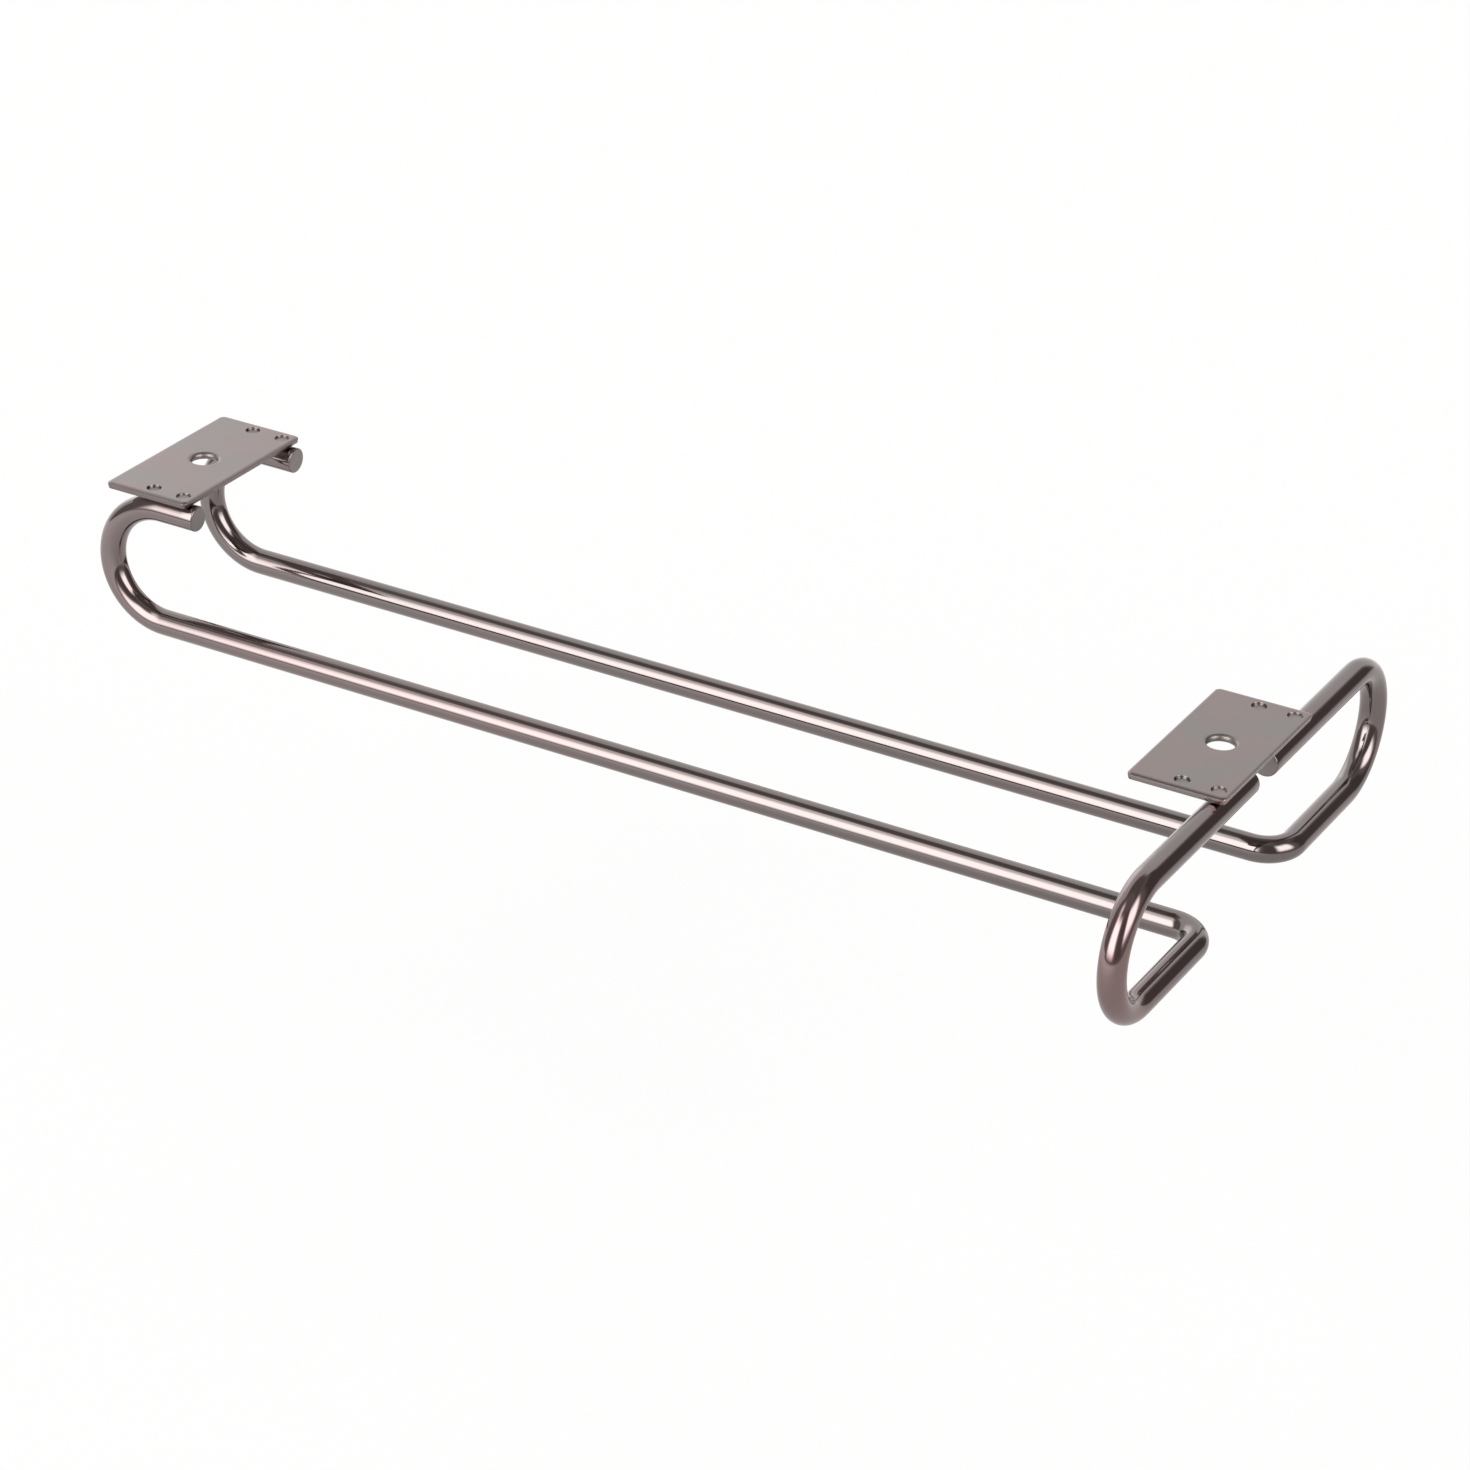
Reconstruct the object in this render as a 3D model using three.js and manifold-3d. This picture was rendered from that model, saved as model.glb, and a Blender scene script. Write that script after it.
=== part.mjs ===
// Hanging wine glass rack: two bent round rods, joined by two stamped screw plates.
// Millimetres, +Z up. The origin lies on the underside of the shelf that the rack hangs from,
// midway between the two screw holes. The rails run along X, and the open mouth faces +X.
import * as THREE from "three";
import { mergeVertices } from "three/addons/utils/BufferGeometryUtils.js";
import Module from "manifold-3d";

// Rods: one diameter of bar, bent in three planes.
const rodDiameter = 6;
const rodEndChamfer = 0.3;
// Between the centrelines of the two rails, whose gap takes the stem of a glass.
const railSpacing = 39;
// From the centreline of a rail up to the centreline of the rod that carries the plates.
const rise = 28.8;
// The straight that comes back over the rail behind, and what shows of it past the rear plate.
const rearReturnLength = 10;
const rearEndShow = 1.2;
// The turn at the mouth, in the plane of the rails, and the straight that runs out from it.
const cornerBendRadius = 7;
const mouthStraightLength = 26.1;
// Between the two rod ends that face each other under the front plate.
const frontEndGap = 9.2;

// Plates: the same stamping, used twice.
const screwSpacing = 256.8;
const screwHoleDiameter = 6.5;
const plateThickness = 1.5;
const plateCornerRadius = 1;
const plateEdgeRound = 0.4;
// Each plate has two rows of weld dimples: one beside the hole and one this far in front of it.
const dimpleRowPitch = 8.2;
const dimpleMouthDiameter = 3;
const dimpleFloorDiameter = 1.6;
const dimpleDepth = 0.6;
// Flat land from the rim of a dimple to the plate's front edge and to its side edge.
const dimpleFrontLand = 1.3;
const dimpleSideLand = 1.9;
// The bump under each dimple.
const bumpBaseDiameter = 3;
const bumpCrownDiameter = 2;

// Fits: the plate stands clear of the rod, and each bump seats on a small flat.
const plateStandoff = 0.3;
const weldFlatDepth = 0.25;
const weldFlatClearance = 0.3;

// How far a cutting or joining shape runs past the face that it goes through.
const overrun = 1;

// Counts of flat facets.
const rodSides = 32;
const uBendSteps = 24;
const cornerBendSteps = 12;
const holeSides = 32;
const dimpleSides = 20;
const plateCornerSteps = 4;
const edgeRoundSteps = 3;

// Places that follow from the sizes above.
const rodRadius = rodDiameter / 2;
const uBendRadius = rise / 2;
const railOffset = railSpacing / 2;
const bumpHeight = plateStandoff + weldFlatDepth;
const plateFrontReach = dimpleRowPitch + dimpleMouthDiameter / 2 + dimpleFrontLand;
const plateSideReach = railOffset + dimpleMouthDiameter / 2 + dimpleSideLand;
const dimpleRows = [0, dimpleRowPitch];
const dimpleColumns = [-railOffset, railOffset];

const rearPlateX = -screwSpacing / 2;
const frontPlateX = screwSpacing / 2;
const topRodZ = -plateThickness - plateStandoff - rodRadius;
const rearEndX = rearPlateX + plateFrontReach + rearEndShow;
const mouthX = frontPlateX + dimpleRowPitch;

const wasm = await Module();
wasm.setup();

// A closed solid from a three.js geometry, with the vertices that share a place merged.
function toSolid(geometry) {
  geometry.deleteAttribute("normal");
  geometry.deleteAttribute("uv");
  const merged = mergeVertices(geometry);
  const mesh = new wasm.Mesh({
    numProp: 3,
    vertProperties: new Float32Array(merged.getAttribute("position").array),
    triVerts: new Uint32Array(merged.getIndex().array),
  });
  return new wasm.Manifold(mesh);
}

// A three.js geometry from a closed solid.
function toGeometry(solid) {
  const { vertProperties, triVerts } = solid.getMesh();
  const geometry = new THREE.BufferGeometry();
  geometry.setAttribute("position", new THREE.BufferAttribute(vertProperties, 3));
  geometry.setIndex(new THREE.BufferAttribute(triVerts, 1));
  geometry.computeVertexNormals();
  return geometry;
}

// The centreline of a bent rod, laid out as a bending machine feeds it: a straight, a turn about
// an axis, the next straight. Its stations lie at the ends of each straight and along each turn.
class BentCentreline extends THREE.Curve {
  constructor(start, heading) {
    super();
    this.stations = [{ point: start.clone(), tangent: heading.clone() }];
  }

  get last() {
    return this.stations[this.stations.length - 1];
  }

  get steps() {
    return this.stations.length - 1;
  }

  straight(length) {
    const { point, tangent } = this.last;
    this.stations.push({ point: point.clone().addScaledVector(tangent, length), tangent: tangent.clone() });
    return this;
  }

  turn(axis, angle, radius, steps) {
    const { point, tangent } = this.last;
    const centre = new THREE.Vector3().crossVectors(axis, tangent).multiplyScalar(radius).add(point);
    const spoke = point.clone().sub(centre);
    for (let step = 1; step <= steps; step += 1) {
      const turned = (angle * step) / steps;
      this.stations.push({
        point: spoke.clone().applyAxisAngle(axis, turned).add(centre),
        tangent: tangent.clone().applyAxisAngle(axis, turned),
      });
    }
    return this;
  }

  stationAt(u) {
    return this.stations[Math.round(u * this.steps)];
  }

  getPointAt(u, target = new THREE.Vector3()) {
    return target.copy(this.stationAt(u).point);
  }

  getTangentAt(u, target = new THREE.Vector3()) {
    return target.copy(this.stationAt(u).tangent);
  }
}

// The route of one rod, from its rear end to its front end. The side is -1 for the left rod and 1
// for the right one, and Z is zero on the centreline of the stretches under the plates.
function rodRoute(side) {
  const backward = new THREE.Vector3(-1, 0, 0);
  const sideways = new THREE.Vector3(0, -1, 0);
  const upright = new THREE.Vector3(0, 0, side);
  const lengthways = new THREE.Vector3(side, 0, 0);
  const rearBendX = rearEndX - rearReturnLength;
  const cornerX = mouthX - cornerBendRadius;
  const topStretch = railOffset + cornerBendRadius + mouthStraightLength - frontEndGap / 2;
  return new BentCentreline(new THREE.Vector3(rearEndX, side * railOffset, 0), backward)
    .straight(rearReturnLength)
    .turn(sideways, Math.PI, uBendRadius, uBendSteps)
    .straight(cornerX - rearBendX)
    .turn(upright, Math.PI / 2, cornerBendRadius, cornerBendSteps)
    .straight(mouthStraightLength)
    .turn(lengthways, Math.PI, uBendRadius, uBendSteps)
    .straight(topStretch);
}

// A ring that takes the sharp edge off a rod's cut end. The end faces along +Z at zero.
function endChamferCutter() {
  const outer = rodRadius + overrun;
  const outline = [
    new THREE.Vector2(rodRadius - rodEndChamfer - overrun, overrun),
    new THREE.Vector2(outer, -rodEndChamfer - overrun),
    new THREE.Vector2(outer, overrun),
    new THREE.Vector2(rodRadius - rodEndChamfer - overrun, overrun),
  ];
  return new THREE.LatheGeometry(outline, rodSides).rotateX(Math.PI / 2);
}

// The cutter placed on the end at a point, facing the way that the end faces.
function chamferAt(point, facing) {
  const turned = new THREE.Quaternion().setFromUnitVectors(new THREE.Vector3(0, 0, 1), facing);
  const placed = endChamferCutter().applyQuaternion(turned);
  placed.translate(point.x, point.y, point.z);
  return toSolid(placed);
}

// The block that cuts one small flat in the crest of a rod, under a bump at x, y.
function weldFlatCutter(x, y) {
  const across = bumpBaseDiameter + 2 * weldFlatClearance;
  const height = weldFlatDepth + overrun;
  const block = new THREE.BoxGeometry(across, across, height);
  block.translate(x, y, rodRadius - weldFlatDepth + height / 2);
  return toSolid(block);
}

// One rod: a round section swept along its route, with eased ends and its weld flats.
function bentRod(side) {
  const section = new THREE.Shape().absarc(0, 0, rodRadius, 0, 2 * Math.PI);
  const route = rodRoute(side);
  const swept = new THREE.ExtrudeGeometry(section, {
    extrudePath: route,
    steps: route.steps,
    curveSegments: rodSides / 2,
  });
  const rearEnd = route.stations[0];
  const frontEnd = route.last;
  let rod = toSolid(swept)
    .subtract(chamferAt(rearEnd.point, rearEnd.tangent.clone().negate()))
    .subtract(chamferAt(frontEnd.point, frontEnd.tangent));
  const bumps = [
    ...dimpleRows.map((row) => rearPlateX + row),
    mouthX,
  ];
  for (const bumpX of bumps) {
    rod = rod.subtract(weldFlatCutter(bumpX, side * railOffset));
  }
  return toGeometry(rod);
}

// The plate's outline: a rectangle about the screw hole, with rounded corners.
function plateOutline() {
  const cornerX = plateFrontReach - plateCornerRadius;
  const cornerY = plateSideReach - plateCornerRadius;
  const corners = [
    [cornerX, cornerY],
    [-cornerX, cornerY],
    [-cornerX, -cornerY],
    [cornerX, -cornerY],
  ];
  const quarter = Math.PI / 2;
  const points = corners.flatMap(([x, y], index) => {
    const from = index * quarter;
    const arc = new THREE.EllipseCurve(x, y, plateCornerRadius, plateCornerRadius, from, from + quarter);
    return arc.getPoints(plateCornerSteps);
  });
  return new THREE.Shape(points);
}

// A turned shape from radii and heights, closed on its axis. The heights rise.
function turned(profile, sides) {
  const points = profile.map(([radius, height]) => new THREE.Vector2(radius, height));
  return new THREE.LatheGeometry(points, sides).rotateX(Math.PI / 2);
}

// The punch that presses a dimple into the top face, at zero.
function dimplePunch() {
  const slope = (dimpleMouthDiameter - dimpleFloorDiameter) / 2 / dimpleDepth;
  const profile = [
    [0, -dimpleDepth],
    [dimpleFloorDiameter / 2, -dimpleDepth],
    [dimpleMouthDiameter / 2 + slope * overrun, overrun],
    [0, overrun],
  ];
  return turned(profile, dimpleSides);
}

// The bump that the punch leaves below, rooted a quarter of the way into the plate.
function weldBump() {
  const underside = -plateThickness;
  const profile = [
    [0, underside - bumpHeight],
    [bumpCrownDiameter / 2, underside - bumpHeight],
    [bumpBaseDiameter / 2, underside],
    [bumpBaseDiameter / 2, underside + plateThickness / 4],
    [0, underside + plateThickness / 4],
  ];
  return turned(profile, dimpleSides);
}

// One plate about its screw hole, with its top face at zero.
function screwPlate() {
  const outline = plateOutline();
  const hole = new THREE.EllipseCurve(0, 0, screwHoleDiameter / 2, screwHoleDiameter / 2);
  outline.holes.push(new THREE.Path(hole.getPoints(holeSides)));
  const blank = new THREE.ExtrudeGeometry(outline, {
    depth: plateThickness - 2 * plateEdgeRound,
    bevelThickness: plateEdgeRound,
    bevelSize: plateEdgeRound,
    bevelOffset: -plateEdgeRound,
    bevelSegments: edgeRoundSteps,
  });
  blank.translate(0, 0, plateEdgeRound - plateThickness);
  let plate = toSolid(blank);
  for (const row of dimpleRows) {
    for (const column of dimpleColumns) {
      plate = plate.add(toSolid(weldBump().translate(row, column, 0)));
      plate = plate.subtract(toSolid(dimplePunch().translate(row, column, 0)));
    }
  }
  return toGeometry(plate);
}

const rodSteel = new THREE.MeshStandardMaterial({ color: 0x8a8482, roughness: 0.18, metalness: 1 });
const plateSteel = new THREE.MeshStandardMaterial({ color: 0x97908c, roughness: 0.32, metalness: 1 });

function namedMesh(name, geometry, material, x, z) {
  const mesh = new THREE.Mesh(geometry, material);
  mesh.name = name;
  mesh.position.set(x, 0, z);
  return mesh;
}

const rods = new THREE.Group();
rods.position.z = topRodZ;
rods.add(namedMesh("left_rod", bentRod(-1), rodSteel, 0, 0));
rods.add(namedMesh("right_rod", bentRod(1), rodSteel.clone(), 0, 0));

const rack = new THREE.Group();
rack.add(rods);
rack.add(namedMesh("rear_plate", screwPlate(), plateSteel, rearPlateX, 0));
rack.add(namedMesh("front_plate", screwPlate(), plateSteel.clone(), frontPlateX, 0));

export default rack;
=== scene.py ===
# %% [markdown]
# A hanging wine glass rack is screwed to the underside of a shelf. Two polished round rods carry
# the feet of the glasses, and two flat plates join the rods and take the screws. This lesson
# dresses the measured model of the rack for a studio picture. The measured model is loaded first,
# because every piece below is built where the model says, in metres, with Z up.

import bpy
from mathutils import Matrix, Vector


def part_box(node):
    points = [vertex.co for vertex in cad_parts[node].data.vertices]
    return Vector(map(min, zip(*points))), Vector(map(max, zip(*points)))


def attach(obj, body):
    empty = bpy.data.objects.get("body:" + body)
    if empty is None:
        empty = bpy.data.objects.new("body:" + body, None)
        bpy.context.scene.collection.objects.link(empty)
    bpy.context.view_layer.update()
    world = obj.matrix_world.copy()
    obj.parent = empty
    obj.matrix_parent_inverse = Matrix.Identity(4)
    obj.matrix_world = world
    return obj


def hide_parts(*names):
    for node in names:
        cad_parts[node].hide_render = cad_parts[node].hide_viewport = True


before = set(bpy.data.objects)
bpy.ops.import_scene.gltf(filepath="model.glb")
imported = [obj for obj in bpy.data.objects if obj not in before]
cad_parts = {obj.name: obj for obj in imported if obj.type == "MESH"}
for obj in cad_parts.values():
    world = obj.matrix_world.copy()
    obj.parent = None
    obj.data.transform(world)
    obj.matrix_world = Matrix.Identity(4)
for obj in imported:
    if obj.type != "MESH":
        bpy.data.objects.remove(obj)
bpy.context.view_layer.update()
print("nodes:", sorted(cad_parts))

# %% [markdown]
# A maker of wire goods thinks of the rack as a few sizes: the bar, the gap between the rails, the
# rise from a rail to the bar above it, and the bends. Most of them can be read from the boxes of
# the measured nodes. What a box can't tell, such as the bar's radius, is written here once.

# %% Read the sizes of the rack
import math

import bmesh
import bpy
from mathutils import Matrix, Quaternion, Vector

MM = 0.001
ROD_RADIUS = 3 * MM
RAIL_OFFSET = 19.5 * MM
CORNER_RADIUS = 7 * MM
REAR_RETURN = 10 * MM
END_EDGE = 0.3 * MM

ROD_LOW, ROD_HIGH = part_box("right_rod")
RISE = ROD_HIGH.z - ROD_LOW.z - 2 * ROD_RADIUS
TOP_ROD_Z = ROD_HIGH.z - ROD_RADIUS
U_RADIUS = RISE / 2
MOUTH_X = ROD_HIGH.x - ROD_RADIUS
REAR_BEND_X = ROD_LOW.x + ROD_RADIUS + U_RADIUS
LOOP_BEND_Y = ROD_HIGH.y - ROD_RADIUS - U_RADIUS
FRONT_END_Y = ROD_LOW.y
print(f"rise {RISE / MM:.1f} mm, bend radius {U_RADIUS / MM:.1f} mm")
print(f"rear bend at x {REAR_BEND_X / MM:.1f} mm")

# %% [markdown]
# The camera stands well to the left of the open mouth, as seen from the front, and looks down over
# the rack. A long lens keeps the two rails almost parallel, as a product photographer would want.
# The picture is tipped by two degrees, so the camera is rolled by as much about its line of sight.

# %% Set up the camera
TARGET = Vector((26.385, -22.874, -17.657)) * MM
AZIMUTH = math.radians(28.568)
ELEVATION = math.radians(27.618)
ROLL = math.radians(2.15)
DISTANCE = 954.51 * MM
LENS = 109.086
SENSOR = 36.0


def camera_axes():
    """The camera's right, up and forward directions, with the roll taken in."""
    level_right = Vector((math.cos(AZIMUTH), math.sin(AZIMUTH), 0))
    level_forward = Vector((-math.sin(AZIMUTH), math.cos(AZIMUTH), 0))
    forward = level_forward * math.cos(ELEVATION) - Vector((0, 0, math.sin(ELEVATION)))
    level_up = level_right.cross(forward)
    right = level_right * math.cos(ROLL) + level_up * math.sin(ROLL)
    return right, right.cross(forward), forward


def place_camera():
    """Adds the camera, aims it and makes it the scene's own."""
    right, up, forward = camera_axes()
    data = bpy.data.cameras.new("studio_camera")
    data.lens = LENS
    data.sensor_width = SENSOR
    camera = bpy.data.objects.new("studio_camera", data)
    turned = Matrix((right, up, -forward)).transposed().to_4x4()
    camera.matrix_world = Matrix.Translation(TARGET - forward * DISTANCE) @ turned
    bpy.context.scene.collection.objects.link(camera)
    bpy.context.scene.camera = camera
    return camera


print("camera at", [round(c, 3) for c in place_camera().matrix_world.translation])

# %% [markdown]
# Everything from here on is coloured with shader nodes. Nodes are easier to read as sums, so a
# small class wraps a socket and lets Python's operators add the Math nodes. One helper adds any
# other node: it takes the node's type, then its settings, then what goes into its sockets.

# %% Sums of shader nodes


class Signal:
    """A socket of a node tree that can be used in a sum."""

    def __init__(self, tree, socket):
        self.tree = tree
        self.socket = socket

    def math(self, operation, *values):
        """This signal and any other values through one Math node."""
        settings = {"operation": operation}
        return add_node(self.tree, "ShaderNodeMath", settings, dict(enumerate((self, *values))))

    def __add__(self, other):
        return self.math("ADD", other)

    def __radd__(self, other):
        return self.math("ADD", other)

    def __sub__(self, other):
        return self.math("SUBTRACT", other)

    def __rsub__(self, other):
        return self.math("MULTIPLY", -1.0).math("ADD", other)

    def __mul__(self, other):
        return self.math("MULTIPLY", other)

    def __rmul__(self, other):
        return self.math("MULTIPLY", other)

    def smooth(self, low, high):
        """0 below low, 1 above high, with a soft step between them."""
        sockets = {"Value": self, "From Min": low, "From Max": high}
        settings = {"interpolation_type": "SMOOTHSTEP"}
        return add_node(self.tree, "ShaderNodeMapRange", settings, sockets, "Result")


def add_node(tree, kind, settings=None, sockets=None, output=0):
    """Adds a node and returns one of its outputs as a Signal, or nothing if output is None."""
    node = tree.nodes.new(kind)
    for name, value in (settings or {}).items():
        setattr(node, name, value)
    for name, value in (sockets or {}).items():
        if isinstance(value, Signal):
            tree.links.new(value.socket, node.inputs[name])
        else:
            node.inputs[name].default_value = value
    return None if output is None else Signal(tree, node.outputs[output])


operators = [name for name in vars(Signal) if name.endswith(("add__", "sub__", "mul__"))]
print("operators of a signal:", operators)

# %% [markdown]
# A Math node turns a colour grey, so a colour never goes through a sum. It goes through a Mix node,
# with a number for how far the first colour has turned into the second. That node keeps a set of
# sockets for each kind of value under the same names, so its colour sockets are called by number.
# A vector is taken apart into three numbers where a sum needs only some of them.

# %% Colours and vectors
MIX_FACTOR, MIX_FIRST, MIX_SECOND, MIX_RESULT = 0, 6, 7, 2


def blank_tree(owner):
    """The emptied node tree of a material or a world."""
    owner.use_nodes = True
    owner.node_tree.nodes.clear()
    return owner.node_tree


def blend_colours(tree, factor, first, second):
    """A colour that goes from the first to the second as the factor goes from 0 to 1."""
    settings = {"data_type": "RGBA"}
    sockets = {MIX_FACTOR: factor, MIX_FIRST: first, MIX_SECOND: second}
    return add_node(tree, "ShaderNodeMix", settings, sockets, MIX_RESULT)


def split(tree, vector):
    """The three parts of a vector, each as a Signal."""
    first = add_node(tree, "ShaderNodeSeparateXYZ", {}, {0: vector})
    return [Signal(tree, part) for part in first.socket.node.outputs]


print("a blended colour leaves the Mix node at output", MIX_RESULT)

# %% [markdown]
# Polished metal has hardly any colour of its own: what shows on it is the studio. This one has two
# large soft boxes, one each side of the camera, a white sweep behind the rack and a dim, warm room
# with a dark ceiling and dark walls round them. The dim gaps draw the dark lines along the rods.
# Area lamps could be the boxes, but their edges are hard, and hard edges show in a polished rod.
# So each light is a patch with soft edges. It is listed by how far round and how far up it is
# centred, each with the half width of its even core and of its faded edge, all in degrees.

# %% List the lights of the studio
ROOM = (0.33, 0.30, 0.29, 1)
WHITE = (1, 1, 1, 1)
STUDIO = {
    "white_sweep": {"round": (130, 50, 62), "up": (16, 34, 50), "colour": (1.0, 1.0, 1.0, 1)},
    "sweep_core": {"round": (144, 8, 23), "up": (15, 8, 22), "colour": (1.85, 1.85, 1.85, 1)},
    "warm_corner": {"round": (-46, 13, 26), "up": (24, 30, 40), "colour": (0.22, 0.19, 0.185, 1)},
    "dark_corner": {"round": (49, 14, 27), "up": (18, 22, 38), "colour": (0.165, 0.14, 0.135, 1)},
    "right_soft_box": {"round": (-10, 13, 27), "up": (29, 10, 30), "colour": (4.35, 4.3, 4.25, 1)},
    "left_top": {"round": (-133, 7, 20), "up": (52, 6, 18), "colour": (2.15, 2.1, 2.05, 1)},
    "left_soft_box": {"round": (-109, 19, 38), "up": (24, 13, 34), "colour": (4.6, 4.5, 4.45, 1)},
    "dark_ceiling": {"round": (92, 92, 112), "up": (78, 15, 25), "colour": (0.25, 0.22, 0.21, 1)},
    "dark_wall": {"round": (-150, 10, 31), "up": (17, 22, 44), "colour": (0.31, 0.28, 0.27, 1)},
}
print("patches in the studio:", len(STUDIO))

# %% [markdown]
# The patches are painted on the world one over another, in the order of the list, so the dark ones
# at its end cut into the light ones before them. A direction is turned into degrees round and up,
# and the distance round is wrapped, so that a patch may cross the seam behind the rack. The camera
# itself sees plain white in place of all this, as it would see a white backdrop.

# %% Paint the studio on the world
HALF_TURN = 180


def patch(angle, centre, core, edge):
    """1 within the core of a centre, 0 beyond its edge, a soft step between. All in degrees."""
    away = (angle - centre).math("WRAP", HALF_TURN, -HALF_TURN).math("ABSOLUTE")
    return 1 - away.smooth(core, edge)


def paint_world():
    """Makes the scene's world from the list of lights."""
    world = bpy.data.worlds.new("studio")
    bpy.context.scene.world = world
    tree = blank_tree(world)
    towards = add_node(tree, "ShaderNodeTexCoord", output="Generated")
    east, north, height = split(tree, towards)
    turned = north.math("ARCTAN2", east).math("DEGREES")
    raised = height.math("ARCSINE").math("DEGREES")
    surroundings = ROOM
    for light in STUDIO.values():
        lit = patch(turned, *light["round"]) * patch(raised, *light["up"])
        surroundings = blend_colours(tree, lit, surroundings, light["colour"])
    seen = add_node(tree, "ShaderNodeLightPath", output="Is Camera Ray")
    colour = blend_colours(tree, seen, surroundings, WHITE)
    background = add_node(tree, "ShaderNodeBackground", {}, {"Color": colour, "Strength": 1.0})
    add_node(tree, "ShaderNodeOutputWorld", {}, {"Surface": background}, None)
    return world


print("nodes in the world:", len(paint_world().node_tree.nodes))
bpy.context.scene.view_settings.view_transform = "Standard"

# %% [markdown]
# The rack hangs, so the floor lies well below it and catches only a faint, wide shadow. In the
# metal it is a table top with painted light: it glows brighter towards the sweep and the left soft
# box, and dark past its front and right edges. Each of these changes is a soft step, along a
# direction over the floor or by the distance from its middle. A step is easy to place, for it has
# only a near end and a far end.

# %% Colour the table top
TABLE = (0.73, 0.70, 0.69, 1)
# Painted light: the table top glows brighter towards the left soft box and the sweep.
TABLE_BY_BOX = (1.17, 1.13, 1.12, 1)
TABLE_BY_SWEEP = (1.22, 1.2, 1.19, 1)
TABLE_EDGE = (0.27, 0.24, 0.23, 1)
SWEEP_AZIMUTH = 140
BOX_AZIMUTH = -120
SWEEP_STEP = (-0.16, 0.72)
BOX_STEP = (0.0, 0.47)
TABLE_END_STEP = (0.64, 0.92)
SWEEP_SIDE_STEP = (-0.1, 0.3)


def share_towards(tree, place, azimuth, near, far):
    """0 nearer than a distance towards an azimuth, 1 past another, both in metres."""
    towards = (math.cos(math.radians(azimuth)), math.sin(math.radians(azimuth)), 0)
    sockets = {0: place, 1: towards}
    along = add_node(tree, "ShaderNodeVectorMath", {"operation": "DOT_PRODUCT"}, sockets, "Value")
    return along.smooth(near, far)


def table_in_metal(tree):
    """The colour of the floor as the metal mirrors it, with painted light by the sweep and the box.
    """
    place = add_node(tree, "ShaderNodeTexCoord", output="Object")
    distance = add_node(tree, "ShaderNodeVectorMath", {"operation": "LENGTH"}, {0: place}, "Value")
    by_sweep = share_towards(tree, place, SWEEP_AZIMUTH, *SWEEP_STEP)
    by_box = share_towards(tree, place, BOX_AZIMUTH, *BOX_STEP)
    away_from_sweep = 1 - share_towards(tree, place, SWEEP_AZIMUTH, *SWEEP_SIDE_STEP)
    past_edge = distance.smooth(*TABLE_END_STEP) * away_from_sweep
    colour = blend_colours(tree, by_box, TABLE, TABLE_BY_BOX)
    colour = blend_colours(tree, by_sweep, colour, TABLE_BY_SWEEP)
    return blend_colours(tree, past_edge, colour, TABLE_EDGE)


print("table top from", TABLE_EDGE[0], "to", TABLE_BY_SWEEP[0])

# %% [markdown]
# To the camera the floor is white paper that glows, with a share of real light and shade in it, so
# that the shadow stays. To the metal it is the table top. To every other ray it is plain matt
# white, which sends soft light up under the rods. One Mix Shader chooses by the kind of ray.

# %% Lay the floor
FLOOR_Z = -0.14
FLOOR_HALF = 1.1
PAPER = (0.97, 0.97, 0.97, 1)
PAPER_GLOW = 0.8


def paper_material():
    """White paper to the camera, the table top to the metal, matt white to the rest."""
    material = bpy.data.materials.new("white_paper")
    tree = blank_tree(material)
    camera_ray = add_node(tree, "ShaderNodeLightPath", output="Is Camera Ray")
    glossy_ray = add_node(tree, "ShaderNodeLightPath", output="Is Glossy Ray")
    glow_colour = blend_colours(tree, camera_ray, table_in_metal(tree), WHITE)
    matt = add_node(tree, "ShaderNodeBsdfDiffuse", {}, {"Color": PAPER})
    glow = add_node(tree, "ShaderNodeEmission", {}, {"Color": glow_colour, "Strength": 1.0})
    seen = PAPER_GLOW * camera_ray + glossy_ray
    paper = add_node(tree, "ShaderNodeMixShader", {}, {0: seen, 1: matt, 2: glow})
    add_node(tree, "ShaderNodeOutputMaterial", {}, {"Surface": paper}, None)
    return material


def lay_floor():
    mesh = bpy.data.meshes.new("floor")
    corners = [(-1, -1), (1, -1), (1, 1), (-1, 1)]
    mesh.from_pydata([(x * FLOOR_HALF, y * FLOOR_HALF, 0) for x, y in corners], [], [(0, 1, 2, 3)])
    mesh.materials.append(paper_material())
    floor = bpy.data.objects.new("floor", mesh)
    floor.location.z = FLOOR_Z
    bpy.context.scene.collection.objects.link(floor)


lay_floor()
print("floor at", FLOOR_Z, "m")

# %% [markdown]
# Metal is never perfectly even, and a picture of it looks like plastic without that. The unevenness
# could be an image, but noise draws it at any scale, and noise that is stretched along one
# direction becomes lines. Each kind of noise is listed with its stretch, its scale and its detail.

# %% Noise for metal
ROD_CLOUDS = {"stretch": (1, 1, 1), "scale": 38.0, "detail": 3.0}
BELT_LINES = {"stretch": (30.0, 2200.0, 1.0), "scale": 1.0, "detail": 4.0}
BAR_SWAY = {"stretch": (55.0, 120.0, 1.0), "scale": 1.0, "detail": 1.0}
SAW_SPECKS = {"stretch": (1, 1, 1), "scale": 900.0, "detail": 2.0}


def noise_at(tree, place, stretch, scale, detail):
    """Soft noise at places that are first stretched along the three axes."""
    sockets = {0: place, 1: stretch}
    stretched = add_node(tree, "ShaderNodeVectorMath", {"operation": "MULTIPLY"}, sockets)
    sockets = {"Vector": stretched, "Scale": scale, "Detail": detail}
    return add_node(tree, "ShaderNodeTexNoise", {}, sockets)


def mask(tree, name):
    """A share that was written on a mesh's points under a name."""
    return add_node(tree, "ShaderNodeAttribute", {"attribute_name": name}, output="Fac")


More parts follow.
